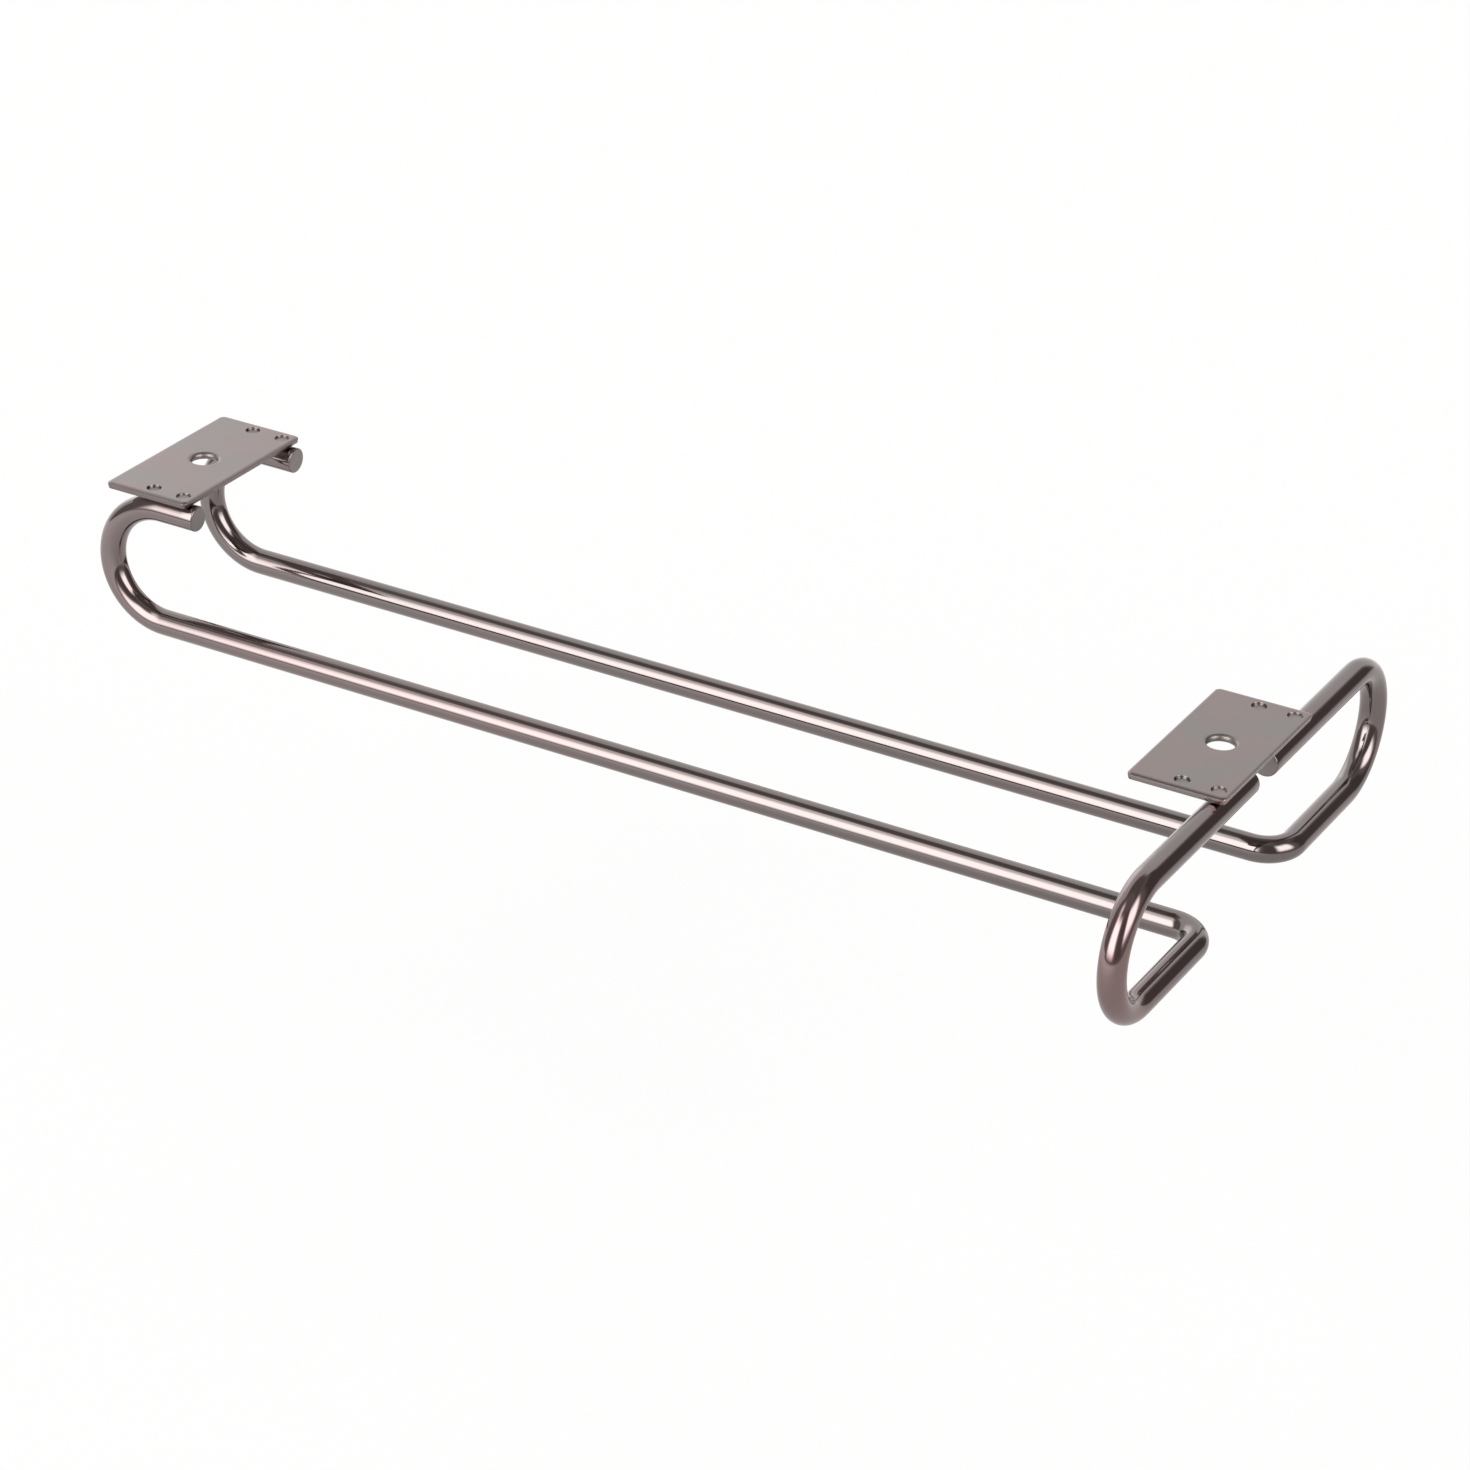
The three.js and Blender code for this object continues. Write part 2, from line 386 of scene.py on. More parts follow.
slow, fast, _ = BELT_LINES["stretch"]
print(f"belt lines are {fast / slow:.0f} times as long as wide")

# %% [markdown]
# The rods are solid bar, bent cold, polished and plated with dark nickel. The plating is a neutral
# grey along the rails and takes on a bronze warmth where the bath works hardest, on the outer
# loops, so each rod carries a warmth along its length. Polishing belts run along the bar, so very
# fine lines follow it, and the bar is never perfectly straight, so its reflections waver a little.
# Both are drawn over a UV map that runs along the rod, because the rod bends away from any straight
# axis. The sawn ends are lighter and duller, and have specks in place of lines.

# %% Plated rod material
ROD_TINT_GREY = (0.222, 0.199, 0.195, 1)
ROD_TINT_WARM = (0.312, 0.206, 0.208, 1)
CLOUD_WARMTH = 0.5
ROD_ROUGHNESS = 0.085
LINE_ROUGHNESS = 0.04
LINE_RELIEF = 0.05
CUT_TINT = (0.31, 0.285, 0.278, 1)
CUT_ROUGHNESS = 0.42
SPECK_ROUGHNESS = 0.1
SPECK_RELIEF = 0.4
ROD_BUMP = {"Strength": 0.25, "Distance": 0.00008}


def rod_material():
    """Dark nickel on polished bar, with sawn ends."""
    material = bpy.data.materials.new("plated_rod")
    tree = blank_tree(material)
    place = add_node(tree, "ShaderNodeTexCoord", output="Object")
    lengthways = add_node(tree, "ShaderNodeUVMap", {"uv_map": "along_rod"})
    cut, warmth = mask(tree, "cut_end"), mask(tree, "warmth")
    clouds = noise_at(tree, place, **ROD_CLOUDS)
    specks = noise_at(tree, place, **SAW_SPECKS)
    lines = noise_at(tree, lengthways, **BELT_LINES)
    sway = noise_at(tree, lengthways, **BAR_SWAY)
    warm = warmth + CLOUD_WARMTH * clouds - CLOUD_WARMTH / 2
    polished = blend_colours(tree, warm, ROD_TINT_GREY, ROD_TINT_WARM)
    colour = blend_colours(tree, cut, polished, CUT_TINT)
    polish = ROD_ROUGHNESS + LINE_ROUGHNESS * lines * clouds
    roughness = polish * (1 - cut) + cut * (CUT_ROUGHNESS + SPECK_ROUGHNESS * specks)
    relief = (LINE_RELIEF * lines + sway) * (1 - cut) + SPECK_RELIEF * specks * cut
    bump = add_node(tree, "ShaderNodeBump", {}, {"Height": relief, **ROD_BUMP})
    looks = {"Base Color": colour, "Metallic": 1.0, "Roughness": roughness, "Normal": bump}
    surface = add_node(tree, "ShaderNodeBsdfPrincipled", {}, looks)
    add_node(tree, "ShaderNodeOutputMaterial", {}, {"Surface": surface}, None)
    return material


ROD_METAL = rod_material()
print("material", ROD_METAL.name, "with", len(ROD_METAL.node_tree.nodes), "nodes")

# %% [markdown]
# A bender feeds the bar, turns it about a pin, and feeds again. The route of each rod is written
# the same way: a straight, a turn, the next straight. Stations along the route carry a place and
# a heading. A curve object with a bevel could follow the same route, but a mesh built from rings
# also takes the eased ends, and it carries the warmth and the distance along the bar to the shader.

# %% Route of a rod
STRAIGHT_STEP = 3 * MM
TURN_STEP = math.radians(3)


class Route:
    """Stations along the centreline of a bent rod."""

    def __init__(self, start, heading):
        self.points = [start.copy()]
        self.headings = [heading.copy()]

    def straight(self, length):
        """Goes on along the present heading."""
        start = self.points[-1]
        heading = self.headings[-1]
        steps = max(1, round(length / STRAIGHT_STEP))
        for step in range(1, steps + 1):
            self.points.append(start + heading * (length * step / steps))
            self.headings.append(heading.copy())
        return self

    def turn(self, axis, angle, radius):
        """Bends the bar about an axis through an angle, at a radius of its centreline."""
        start = self.points[-1]
        heading = self.headings[-1]
        centre = start + axis.cross(heading) * radius
        steps = round(angle / TURN_STEP)
        for step in range(1, steps + 1):
            spin = Quaternion(axis, angle * step / steps)
            self.points.append(centre + spin @ (start - centre))
            self.headings.append(spin @ heading)
        return self


def rod_route(side):
    """The route of the rod on one side: -1 for the left, 1 for the right."""
    rear_end_x = REAR_BEND_X + REAR_RETURN
    route = Route(Vector((rear_end_x, side * RAIL_OFFSET, TOP_ROD_Z)), Vector((-1, 0, 0)))
    route.straight(REAR_RETURN)
    route.turn(Vector((0, -1, 0)), math.pi, U_RADIUS)
    route.straight(MOUTH_X - CORNER_RADIUS - REAR_BEND_X)
    route.turn(Vector((0, 0, side)), math.pi / 2, CORNER_RADIUS)
    route.straight(LOOP_BEND_Y - RAIL_OFFSET - CORNER_RADIUS)
    route.turn(Vector((side, 0, 0)), math.pi, U_RADIUS)
    route.straight(LOOP_BEND_Y - FRONT_END_Y)
    return route


print("stations on one rod:", len(rod_route(1).points))

# %% [markdown]
# The bar's round section is carried along the route ring by ring. Each ring's first spoke is kept
# from twisting by turning it only as much as the heading turns. At both ends a few smaller rings
# ease the sharp edge, and a flat disc closes the bar, as a saw and a touch of the belt leave it.

# %% Rings along a rod
ROD_SIDES = 72
EDGE_RINGS = 4
DISC_RINGS = 4


def ring(point, heading, spoke, radius):
    """The places of one ring of the section."""
    other = heading.cross(spoke)
    angles = [2 * math.pi * k / ROD_SIDES for k in range(ROD_SIDES)]
    return [point + (spoke * math.cos(a) + other * math.sin(a)) * radius for a in angles]


def end_profile():
    """Radius, setback and share of cut end, from the middle of an end's disc to the full bar."""
    disc = ROD_RADIUS - END_EDGE
    rings = [(disc * k / DISC_RINGS, 0, 1.0) for k in range(1, DISC_RINGS + 1)]
    for k in range(1, EDGE_RINGS + 1):
        turned = math.pi / 2 * k / EDGE_RINGS
        rings.append((disc + END_EDGE * math.sin(turned), END_EDGE * (1 - math.cos(turned)), 0.0))
    return rings


def rod_rings(route):
    """All rings of a rod: their places, their distance along the bar and their share of cut end."""
    points, headings = route.points, route.headings
    spokes = [headings[0].orthogonal().normalized()]
    for before, after in zip(headings, headings[1:]):
        spokes.append(before.rotation_difference(after) @ spokes[-1])
    travelled = [0.0]
    for before, after in zip(points, points[1:]):
        travelled.append(travelled[-1] + (after - before).length)
    rings = []
    for radius, setback, cut in end_profile():
        point = points[0] + headings[0] * setback
        rings.append((ring(point, headings[0], spokes[0], radius), setback, cut))
    for k in range(1, len(points) - 1):
        rings.append((ring(points[k], headings[k], spokes[k], ROD_RADIUS), travelled[k], 0.0))
    for radius, setback, cut in reversed(end_profile()):
        point = points[-1] - headings[-1] * setback
        section = ring(point, headings[-1], spokes[-1], radius)
        rings.append((section, travelled[-1] - setback, cut))
    return rings


print("rings on one rod:", len(rod_rings(rod_route(1))))

# %% [markdown]
# The bronze warmth is uneven along a rod: the left loop at the mouth hung deepest in the bath and
# took the most of it. For each side, a list gives the warmth at a few shares of the rod's length,
# counted from its rear end, and the places between them are blended.

# %% Warmth of the plating
WARMTH = {
    -1: (
        (0.0, 0.12),
        (0.06, 0.15),
        (0.13, 0.2),
        (0.3, 0.2),
        (0.5, 0.05),
        (0.66, 0.05),
        (0.75, 0.12),
        (0.785, 0.27),
        (0.81, 0.62),
        (0.85, 0.72),
        (0.88, 0.25),
        (0.92, 0.08),
        (1.0, 0.08),
    ),
    1: (
        (0.0, 0.1),
        (0.1, 0.1),
        (0.2, 0.05),
        (0.66, 0.0),
        (0.76, 0.12),
        (0.8, 0.08),
        (0.88, 0.0),
        (0.92, 0.1),
        (1.0, 0.12),
    ),
}


def warmth_at(side, share):
    """The warmth of the plating at a share of the rod's length, from its rear end."""
    stations = WARMTH[side]
    for (start, before), (stop, after) in zip(stations, stations[1:]):
        if share <= stop:
            return before + (after - before) * (share - start) / (stop - start)
    return stations[-1][1]


print("warmest on the left loop:", max(warmth for _, warmth in WARMTH[-1]))

# %% [markdown]
# The rings are joined by bands of faces, and each end is closed by a fan about its middle. On the
# way, every point gets its warmth and its share of cut end, and every face its place in the UV map
# that the belt lines follow: distance along the bar one way, distance round it the other way.

# %% Skin of a rod


def rows_of_points(bm, side, rings):
    """The rings as rows of mesh points that carry the warmth and the share of cut end."""
    cut_end = bm.verts.layers.float.new("cut_end")
    warmth = bm.verts.layers.float.new("warmth")
    length = rings[-1][1]
    rows = []
    for places, distance, cut in rings:
        row = [bm.verts.new(place) for place in places]
        for vert in row:
            vert[cut_end] = cut
            vert[warmth] = warmth_at(side, distance / length)
        rows.append(row)
    return rows


def join_rows(bm, along, rows, distances):
    """Bands of faces between the rows, with their place in the UV map."""
    girth = 2 * math.pi * ROD_RADIUS
    placed = list(zip(rows, distances))
    for (row, start), (next_row, stop) in zip(placed, placed[1:]):
        for k in range(ROD_SIDES):
            after = (k + 1) % ROD_SIDES
            face = bm.faces.new((row[k], row[after], next_row[after], next_row[k]))
            uvs = [(start, k), (start, k + 1), (stop, k + 1), (stop, k)]
            for loop, (distance, turn) in zip(face.loops, uvs):
                loop[along].uv = (distance, girth * turn / ROD_SIDES)


def close_end(bm, along, row, point):
    """A fan of faces that closes an end of the bar."""
    middle = bm.verts.new(point)
    middle[bm.verts.layers.float["cut_end"]] = 1.0
    for k in range(ROD_SIDES):
        face = bm.faces.new((row[k], middle, row[(k + 1) % ROD_SIDES]))
        for loop in face.loops:
            loop[along].uv = (loop.vert.co.y, loop.vert.co.z)


print("sides of the bar:", ROD_SIDES)

# %% [markdown]
# A finished piece is shaded smoothly and rides on the rack's one body, because nothing on the rack
# moves. Each rod then takes the place of its node in the measured model, under a maker's name.

# %% Build the two rods


def finish_piece(bm, name):
    """A smooth-shaded object from a bmesh, riding on the rack's one body."""
    mesh = bpy.data.meshes.new(name)
    bm.to_mesh(mesh)
    bm.free()
    for polygon in mesh.polygons:
        polygon.use_smooth = True
    piece = bpy.data.objects.new(name, mesh)
    bpy.context.scene.collection.objects.link(piece)
    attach(piece, "root")
    return piece


def build_rod(side, name):
    """The rod on one side, from its route."""
    route = rod_route(side)
    rings = rod_rings(route)
    bm = bmesh.new()
    along = bm.loops.layers.uv.new("along_rod")
    rows = rows_of_points(bm, side, rings)
    join_rows(bm, along, rows, [distance for _, distance, _ in rings])
    close_end(bm, along, rows[0], route.points[0])
    close_end(bm, along, rows[-1], route.points[-1])
    bmesh.ops.recalc_face_normals(bm, faces=bm.faces)
    return finish_piece(bm, name)


for side, node in ((-1, "left_rod"), (1, "right_rod")):
    rod = build_rod(side, f"polished_{node}")
    rod.data.materials.append(ROD_METAL)
    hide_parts(node)
    print(rod.name, len(rod.data.polygons), "faces")

# %% [markdown]
# The two plates are blanked from 1.5 mm strip. The die rolls the top edge softly over, more at the
# two ends, where the plate is parted off, than along the sides of the strip. It leaves a burnished
# band below that and a slightly narrower, grainy break under the band. Such an edge is a short list
# of steps, and the plate is swept along it ring by ring. A step is an inset, a depth and the share
# of sheared wall. A bevel modifier would round every edge alike, and a stamped edge isn't alike
# above and below.

# %% Profile of the stamped edge
PLATE_THICKNESS = 1.5 * MM
EDGE_ROLL = 0.6 * MM
EDGE_DROOP = 0.22 * MM
EDGE_LAND = 0.2 * MM
CRISP = 0.015 * MM
BREAK_STEP = 0.06 * MM
BREAK_START = 0.85 * MM
BREAK_UNDERCUT = 0.16 * MM
LOWER_EDGE = 0.05 * MM
ROLL_STEPS = 6


def drooping_rim(width, droop):
    """Steps of a rim that droops more and more towards the wall."""
    shares = [k / ROLL_STEPS for k in range(ROLL_STEPS + 1)]
    return [(width * (1 - s), droop * s * s, 0.0) for s in shares]


def sheared_wall(droop):
    """A burnished band and an undercut break, from below the rim to the lower face."""
    return [
        (0.0, droop + CRISP, 1.0),
        (0.0, BREAK_START - BREAK_STEP, 1.0),
        (BREAK_STEP, BREAK_START, 1.0),
        (BREAK_UNDERCUT, PLATE_THICKNESS - LOWER_EDGE, 1.0),
        (BREAK_UNDERCUT + LOWER_EDGE, PLATE_THICKNESS, 1.0),
    ]


def stamped_edge(width, droop, land):
    """All steps of an edge, with a strip of flat face above and below it."""
    lower_land = (BREAK_UNDERCUT + LOWER_EDGE + land, PLATE_THICKNESS, 0.0)
    upper_land = (width + land, 0.0, 0.0)
    return [upper_land] + drooping_rim(width, droop) + sheared_wall(droop) + [lower_land]


EDGE_STEPS = stamped_edge(EDGE_ROLL, EDGE_DROOP, EDGE_LAND)
print("steps round the edge:", len(EDGE_STEPS))

# %% [markdown]
# The screw hole is punched from above and drags the face down with it, so its rim is a full quarter
# round that catches both soft boxes. Under the round come a short straight and the same undercut
# break as on the edge. Here the share in each step is painted shade, which darkens the hole deeper
# down.

# %% Profile of the screw hole
BORE_RADIUS = 2.95 * MM
BORE_ROUND = 1.0 * MM
BORE_LAND = 0.25 * MM
BORE_STRAIGHT = 0.08 * MM
BORE_STEPS = 14
BORE_SHADE = 0.65
BORE_DULL = 0.6


def punched_bore():
    """All steps of the screw hole: a quarter round, a short straight and an undercut break."""
    steps = [(BORE_ROUND + BORE_LAND, 0.0, 0.0)]
    for k in range(BORE_STEPS + 1):
        turned = math.pi / 2 * k / BORE_STEPS
        inset = BORE_ROUND * (1 - math.sin(turned))
        depth = BORE_ROUND * (1 - math.cos(turned))
        # The share of painted shade grows down the quarter round.
        steps.append((inset, depth, BORE_SHADE * k / BORE_STEPS))
    steps.append((0.0, BORE_ROUND + BORE_STRAIGHT, BORE_SHADE))
    steps.append((BREAK_UNDERCUT, PLATE_THICKNESS - LOWER_EDGE, BORE_SHADE))
    steps.append((BREAK_UNDERCUT + LOWER_EDGE, PLATE_THICKNESS, BORE_SHADE))
    steps.append((BREAK_UNDERCUT + LOWER_EDGE + BORE_LAND, PLATE_THICKNESS, 0.0))
    return steps


BORE_PROFILE = punched_bore()
print("steps in the hole:", len(BORE_PROFILE))

# %% [markdown]
# Four dimples are pressed into each plate from above. Their walls are steep, so the far wall of
# each one mirrors the two soft boxes and the dark between and beside them, as an arc of three dark
# spots. The front pair was struck more lightly. Below, the metal stands out as four small domes,
# and a welder melts the tip of each dome into the rod under it. So a dome ends a little below the
# rod's crest, which leaves a closed seam round it, as the real weld does. A step here is a radius
# and a depth, both in millimetres, and the share of painted shade that darkens the dimple's wall.
# A strike is a place along the plate and how hard the punch came down there.

# %% Profiles of a dimple and its dome
DIMPLE_PITCH = 8.2 * MM
DIMPLE_STRIKES = ((0, 0.95), (DIMPLE_PITCH, 0.75))
DOME_STRIKE = 1.0
# The third number of each step is its share of painted shade.
DIMPLE_STEPS = [
    (1.82, 0.0, 0.0),
    (1.75, 0.0, 0.0),
    (1.735, 0.015, 0.0),
    (1.71, 0.055, 0.1),
    (1.655, 0.155, 0.9),
    (1.41, 0.615, 1.0),
    (1.38, 0.65, 0.4),
    (1.33, 0.66, 0.0),
    (0.70, 0.66, 0.0),
]
DOME_STEPS = [
    (1.85, 1.50, 0.0),
    (1.55, 1.50, 0.0),
    (1.46, 1.53, 0.0),
    (1.40, 1.60, 0.0),
    (1.31, 1.74, 0.0),
    (1.20, 1.88, 0.0),
    (1.07, 1.98, 0.0),
    (0.92, 2.035, 0.0),
    (0.70, 2.05, 0.0),
    (0.35, 2.05, 0.0),
]
print("dimple depth", max(depth for _, depth, _ in DIMPLE_STEPS), "mm")

# %% [markdown]
# A ring of the edge is a rectangle with rounded corners, and a ring of a hole or a dimple is a
# circle. The corners of the edge droop a little more than its sides, because a die drags them down
# most, and the two ends get their wider roll here.

# %% Rings of a plate
PLATE_CORNER = 1.1 * MM
SMALLEST_CORNER = 0.2 * MM
PLATE_CORNER_STEPS = 10
CORNER_EXTRA_DROOP = 0.5
END_ROLL_RATIO = 1.9
END_DROOP_RATIO = 1.5
DIMPLE_SIDES = 40


def outline_ring(middle, half_x, half_y, inset, depth):
    """Points round the plate at an inset from its outline and a depth below its top face."""
    in_rim = depth <= EDGE_DROOP + CRISP
    end_inset = inset * END_ROLL_RATIO if in_rim else inset
    end_depth = depth * END_DROOP_RATIO if in_rim else depth
    corner_extra = depth * CORNER_EXTRA_DROOP if in_rim else 0.0
    radius = max(PLATE_CORNER - inset, SMALLEST_CORNER)
    straight_x, straight_y = half_x - inset - radius, half_y - end_inset - radius
    points = []
    for quarter, (x_side, y_side) in enumerate(((1, 1), (-1, 1), (-1, -1), (1, -1))):
        centre = middle + Vector((x_side * straight_x, y_side * straight_y, 0))
        for step in range(PLATE_CORNER_STEPS + 1):
            turned = math.pi / 2 * (quarter + step / PLATE_CORNER_STEPS)
            facing_end = math.sin(turned) ** 2
            lower = depth + (end_depth - depth) * facing_end
            lower += corner_extra * math.sin(math.pi * step / PLATE_CORNER_STEPS)
            outwards = Vector((math.cos(turned) * radius, math.sin(turned) * radius, -lower))
            points.append(centre + outwards)
    return points


def circle_ring(middle, radius, depth, sides):
    """Points of a circle about the middle at a depth below the top face."""
    turns = [2 * math.pi * k / sides for k in range(sides)]
    return [middle + Vector((radius * math.cos(a), radius * math.sin(a), -depth)) for a in turns]


def struck_rings(place, steps, strike):
    """Rings of a dimple or a dome, deeper and with more painted shade the harder it was struck."""
    return [
        (circle_ring(place, radius * MM, depth * strike * MM, DIMPLE_SIDES), share * strike**2)
        for radius, depth, share in steps
    ]


print("corner of the plate", PLATE_CORNER / MM, "mm")

# %% [markdown]
# All these rings are closed loops of points, so one helper can join any two of a kind with a band
# of faces. Blender's triangle fill makes the flat face that is left between them, and a fan closes
# the middle of a dimple or a dome.

# %% Bands and faces of a plate


def add_rings(bm, layer, rings):
    """Adds rings joined by bands, marks each by its share in a layer, and returns their points."""
    rows = []
    for points, share in rings:
        row = [bm.verts.new(point) for point in points]
        for vert in row:
            vert[layer] = share
        rows.append(row)
    for row, next_row in zip(rows, rows[1:]):
        for k in range(len(row)):
            after = (k + 1) % len(row)
            bm.faces.new((row[k], row[after], next_row[after], next_row[k]))
    return rows


def fill_flat(bm, rings):
    """Fills the flat face between an outer ring and the rings inside it."""
    edges = [bm.edges.get((row[k - 1], row[k])) for row in rings for k in range(len(row))]
    filled = bmesh.ops.triangle_fill(bm, edges=edges, use_beauty=True, normal=(0, 0, 1))
    return sum(isinstance(item, bmesh.types.BMFace) for item in filled["geom"])


def close_disc(bm, row):
    """Closes the last ring of a dimple or dome with a fan and returns its middle point."""
    centre = bm.verts.new(sum((vert.co for vert in row), Vector()) / len(row))
    for k in range(len(row)):
        bm.faces.new((row[k - 1], row[k], centre))
    return centre


print("sides of a dimple:", DIMPLE_SIDES)

# %% [markdown]
# A dimple and its dome are made together, because one stroke of the punch makes both. Their outer
# rings are handed back, since each becomes the rim of an opening in a flat face. The floors of the
# dimples, which the punch has coined and scuffed, are marked so that the material can dull them.

# %% Press the dimples


def add_dimples(bm, middle):
    """Adds the dimples and domes of a plate and returns their outer rings, above and below."""
    pocket, coined = (bm.verts.layers.float[name] for name in ("pocket", "coined"))
    top, bottom = [], []
    for x, strike in DIMPLE_STRIKES:
        for side in (-1, 1):
            place = middle + Vector((x, side * RAIL_OFFSET, 0))
            dimple = add_rings(bm, pocket, struck_rings(place, DIMPLE_STEPS, strike))
            dome = add_rings(bm, pocket, struck_rings(place, DOME_STEPS, DOME_STRIKE))
            top.append(dimple[0])
            bottom.append(dome[0])
            close_disc(bm, dome[-1])
            for vert in dimple[-2] + dimple[-1] + [close_disc(bm, dimple[-1])]:
                vert[coined] = 1.0
    return top, bottom


print("dimples on a plate:", 2 * len(DIMPLE_STRIKES))

# %% [markdown]
# Now a plate is the sum of its parts: the swept edge, the swept hole, four dimples above, four
# domes below, and two flat faces. Both plates come from the same tool, so one function makes both.
# The bore counts as coined in part, for the same reason as a dimple's floor. A weighted-normal
# modifier keeps the large flat faces truly flat in their reflections, although the small faces
# beside them are rounded.

# %% Build the two plates
HOLE_SIDES = 72


def build_plate(node, name):
    """The plate that stands for a node of the measured model."""
    low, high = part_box(node)
    middle = Vector(((low.x + high.x) / 2, 0, high.z))
    half_x, half_y = (high.x - low.x) / 2, (high.y - low.y) / 2
    bm = bmesh.new()
    sheared = bm.verts.layers.float.new("sheared")
    pocket = bm.verts.layers.float.new("pocket")
    coined = bm.verts.layers.float.new("coined")
    edge = [
        (outline_ring(middle, half_x, half_y, inset, depth), share)
        for inset, depth, share in EDGE_STEPS
    ]
    hole = [
        (circle_ring(middle, BORE_RADIUS + inset, depth, HOLE_SIDES), share)
        for inset, depth, share in BORE_PROFILE
    ]
    edge_rows = add_rings(bm, sheared, edge)
    hole_rows = add_rings(bm, pocket, hole)
    for vert in sum(hole_rows, []):
        vert[coined] = BORE_DULL * vert[pocket]
    top, bottom = add_dimples(bm, middle)
    above = fill_flat(bm, [edge_rows[0], hole_rows[0]] + top)
    below = fill_flat(bm, [edge_rows[-1], hole_rows[-1]] + bottom)
    bmesh.ops.recalc_face_normals(bm, faces=bm.faces)
    open_edges = sum(not seam.is_manifold for seam in bm.edges)
    print(name, "flat faces:", above, "above,", below, "below; open edges:", open_edges)
    plate = finish_piece(bm, name)
    plate.modifiers.new("even_normals", "WEIGHTED_NORMAL")
    return plate


PLATES = {}
for node in ("rear_plate", "front_plate"):
    PLATES[node] = build_plate(node, f"stamped_{node}")
    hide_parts(node)

# %% [markdown]
# The plates carry the same dark nickel, but over rolled strip that nobody polished, so they are
# satin rather than bright. Strip is never quite even: it has a fine grain along its length, very
# shallow waves, and patches where the plating is a little warmer. The cut walls have specks,
# upright tool marks and small bright nicks. All of these are noise again, at other scales and
# stretches, and only the peaks of one kind are kept as nicks.

# %% Noise of a plate
SHEET_NOISE = {
    "patches": {"stretch": (1, 1, 1), "scale": 85.0, "detail": 2.0},
    "waves": {"stretch": (1, 0.6, 1), "scale": 130.0, "detail": 1.0},
    "grain": {"stretch": (9.0, 0.5, 1), "scale": 420.0, "detail": 4.0},
    "tool_marks": {"stretch": (3.0, 3.0, 0.35), "scale": 900.0, "detail": 3.0},
    "specks": {"stretch": (1, 1, 1), "scale": 1500.0, "detail": 2.0},
    "nicks": {"stretch": (1, 1, 0.6), "scale": 620.0, "detail": 0.0},
}
NICK_STEP = (0.63, 0.69)


def plate_noise(tree, place):
    """Every kind of noise on a plate, by name."""
    noise = {name: noise_at(tree, place, **kind) for name, kind in SHEET_NOISE.items()}
    noise["nicks"] = noise["nicks"].smooth(*NICK_STEP)
    return noise


print("kinds of noise on a plate:", len(SHEET_NOISE))

# %% [markdown]
# The dimples' walls are darkened with painted shade, the most of any place, and the bore of the
# screw hole comes next. The walls of the rear plate are a little darker than those of the front
# one, and a painted pink highlight brightens the walls at the near front corner of the front plate.
# Each tint is laid over the last, by a share that was written on the plate's points or by a soft
# step along an axis.

# %% Tints of a plate
PLATE_TINT_GREY = (0.270, 0.245, 0.235, 1)
PLATE_TINT_WARM = (0.298, 0.243, 0.236, 1)
SHEARED_TINT = (0.305, 0.275, 0.265, 1)
REAR_WALL_TINT = (0.235, 0.19, 0.195, 1)
# Painted highlight: a brighter pink on the walls at the front plate's near front corner.
CORNER_SHEEN_TINT = (0.40, 0.29, 0.28, 1)
# Painted shade: the dark tint laid into the dimples' walls and the bore of the screw hole.
POCKET_SHADE_TINT = (0.085, 0.078, 0.076, 1)
COINED_TINT = (0.44, 0.41, 0.40, 1)
PATCH_STEP = (0.36, 0.64)
FRONT_STEP = (-0.05, 0.05)
# These two steps place the painted pink highlight on that corner.
CORNER_SHEEN_STEP_X = (0.136, 0.139)
CORNER_SHEEN_STEP_Y = (-0.0225, -0.020)
SPECK_STEP = (0.4, 0.6)
# How much of the painted shade in the pockets is kept: the least, and what the specks add.
LEAST_POCKET_SHADE = 0.8
SPECK_POCKET_SHADE = 0.4


def plate_colour(tree, place, marks, noise):
    """The colour of a plate: face, walls, coined places, painted shade in pockets, a painted
    highlight.
    """
    forwards, sideways, _ = split(tree, place)
    warmer = noise["patches"].smooth(*PATCH_STEP)
    face = blend_colours(tree, warmer, PLATE_TINT_GREY, PLATE_TINT_WARM)
    wall = blend_colours(tree, forwards.smooth(*FRONT_STEP), REAR_WALL_TINT, SHEARED_TINT)
    # A painted pink highlight on the walls at the near front corner of the front plate.
    corner_sheen = forwards.smooth(*CORNER_SHEEN_STEP_X) * (1 - sideways.smooth(*CORNER_SHEEN_STEP_Y))
    wall = blend_colours(tree, corner_sheen, wall, CORNER_SHEEN_TINT)
    colour = blend_colours(tree, marks["sheared"], face, wall)
    # Painted shade in the pockets, speckled by noise.
    speckled = LEAST_POCKET_SHADE + SPECK_POCKET_SHADE * noise["specks"].smooth(*SPECK_STEP)
    pocket_shade = marks["pocket"] * speckled
    colour = blend_colours(tree, pocket_shade, colour, POCKET_SHADE_TINT)
    return blend_colours(tree, marks["coined"], colour, COINED_TINT)


print("darkest tint of a plate:", POCKET_SHADE_TINT[:3])

# %% [markdown]
# The faces are evenly satin and the walls are speckled. A dimple's floor and the bore are duller
# than either, where the punch coined and scuffed them. The relief of all the marks is left to a
# Bump node, because they are far too shallow to show in the outline of the plate.

# %% Roughness and relief of a plate
PLATE_ROUGHNESS = 0.25
GRAIN_ROUGHNESS = 0.09
PATCH_ROUGHNESS = 0.03
SHEARED_ROUGHNESS = 0.24
WALL_SPECK_ROUGHNESS = 0.16
COINED_ROUGHER = 0.4
GRAIN_RELIEF = 0.25
WAVE_RELIEF = 1.6
MARK_RELIEF = 0.9
WALL_SPECK_RELIEF = 0.3
NICK_RELIEF = 2.2


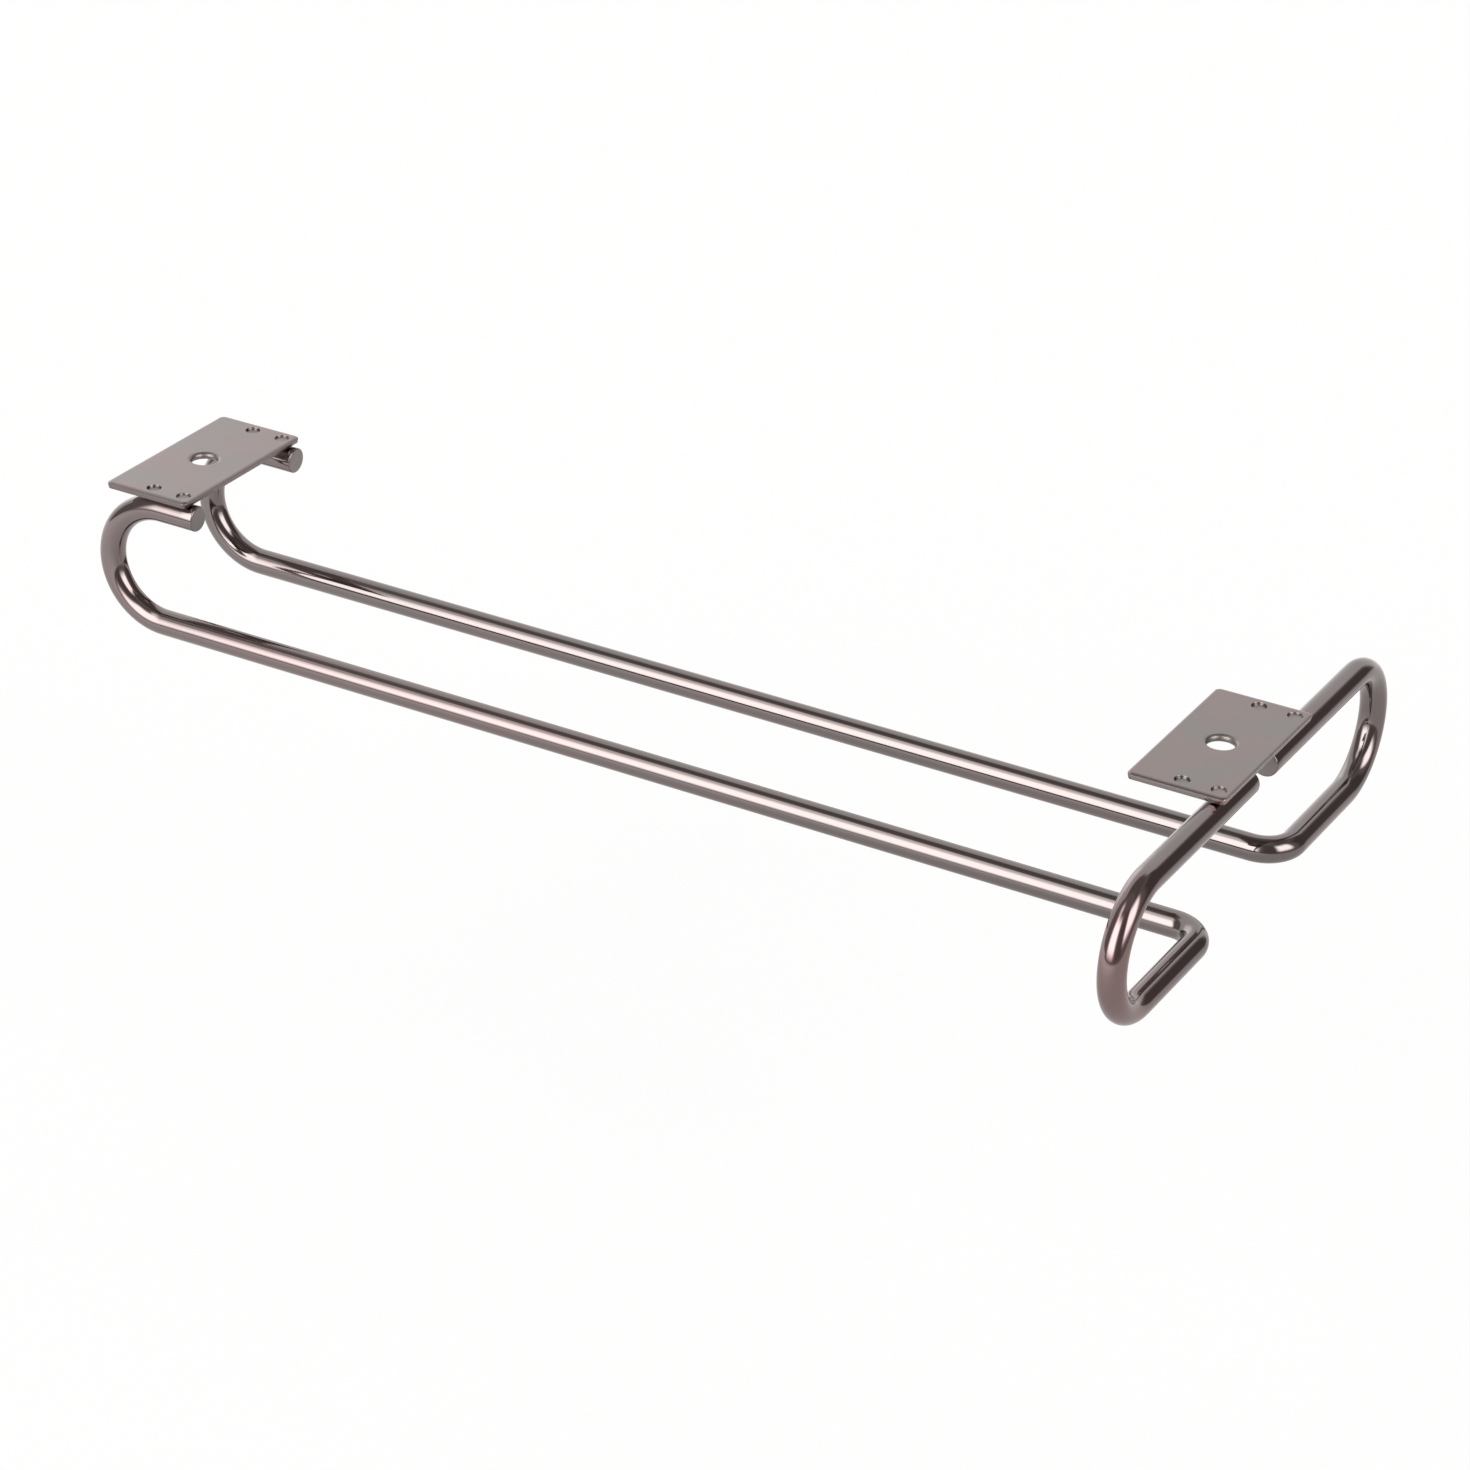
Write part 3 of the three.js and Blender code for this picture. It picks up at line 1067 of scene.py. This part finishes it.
def plate_roughness(noise, wall, coined):
    """Satin on the face, speckled on the walls, and duller where it is coined."""
    satin = PLATE_ROUGHNESS + GRAIN_ROUGHNESS * noise["grain"] + PATCH_ROUGHNESS * noise["patches"]
    cut = SHEARED_ROUGHNESS + WALL_SPECK_ROUGHNESS * noise["specks"]
    return satin * (1 - wall) + cut * wall + COINED_ROUGHER * coined


def plate_relief(noise, wall):
    """Grain and waves on the face, tool marks, specks and nicks on the walls."""
    on_face = GRAIN_RELIEF * noise["grain"] + WAVE_RELIEF * noise["waves"]
    on_wall = MARK_RELIEF * noise["tool_marks"] + WALL_SPECK_RELIEF * noise["specks"]
    on_wall = on_wall + NICK_RELIEF * noise["nicks"]
    return on_face * (1 - wall) + on_wall * wall


print("roughest place of a plate: about", PLATE_ROUGHNESS + COINED_ROUGHER)

# %% [markdown]
# The plates' material is put together from these in the same way as that of the rods. One material
# serves both plates, because the marks on their points tell it where it is.

# %% Plated sheet material
PLATE_BUMP = {"Strength": 0.35, "Distance": 0.00006}


def plate_material():
    """Dark nickel on rolled strip, with sheared walls and painted shade in the pockets."""
    material = bpy.data.materials.new("plated_sheet")
    tree = blank_tree(material)
    place = add_node(tree, "ShaderNodeTexCoord", output="Object")
    marks = {name: mask(tree, name) for name in ("sheared", "pocket", "coined")}
    noise = plate_noise(tree, place)
    wall = marks["sheared"] + marks["pocket"]
    relief = plate_relief(noise, wall)
    looks = {
        "Base Color": plate_colour(tree, place, marks, noise),
        "Metallic": 1.0,
        "Roughness": plate_roughness(noise, wall, marks["coined"]),
        "Normal": add_node(tree, "ShaderNodeBump", {}, {"Height": relief, **PLATE_BUMP}),
    }
    surface = add_node(tree, "ShaderNodeBsdfPrincipled", {}, looks)
    add_node(tree, "ShaderNodeOutputMaterial", {}, {"Surface": surface}, None)
    return material


PLATE_METAL = plate_material()
for plate in PLATES.values():
    plate.data.materials.append(PLATE_METAL)
print("material", PLATE_METAL.name, "with", len(PLATE_METAL.node_tree.nodes), "nodes")

# %% [markdown]
# The dressed rack must be the measured rack and nothing larger.
